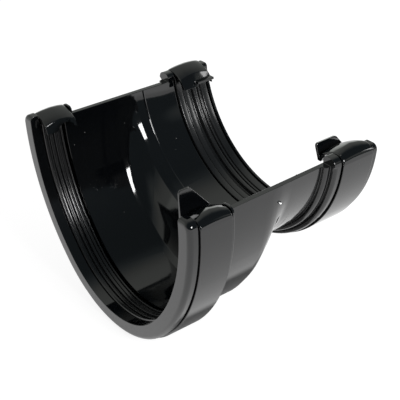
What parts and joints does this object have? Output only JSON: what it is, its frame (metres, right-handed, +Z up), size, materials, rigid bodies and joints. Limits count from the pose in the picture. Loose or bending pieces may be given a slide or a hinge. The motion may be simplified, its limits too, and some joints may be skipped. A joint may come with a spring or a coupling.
{
  "type": "gutter adaptor",
  "caption": "Moulded gutter adaptor that joins a deep gutter to a half-round gutter, with snap hooks over each socket and ribbed rubber seals inside.",
  "frame": {"origin": "middle of the deep gutter socket's mouth, level with the rim of the trough", "axes": "+X across the trough towards the side with the release tabs, +Y along the trough from the deep mouth to the half-round mouth, +Z up"},
  "size_m": [0.131, 0.1006, 0.0929],
  "materials": {
    "adaptor_plastic": "gloss",
    "seal_rubber": "satin"
  },
  "bodies": {
    "root": {"adaptor_body": "adaptor_plastic", "deep_socket_seal": "seal_rubber", "half_round_socket_seal": "seal_rubber"}
  },
  "joints": []
}
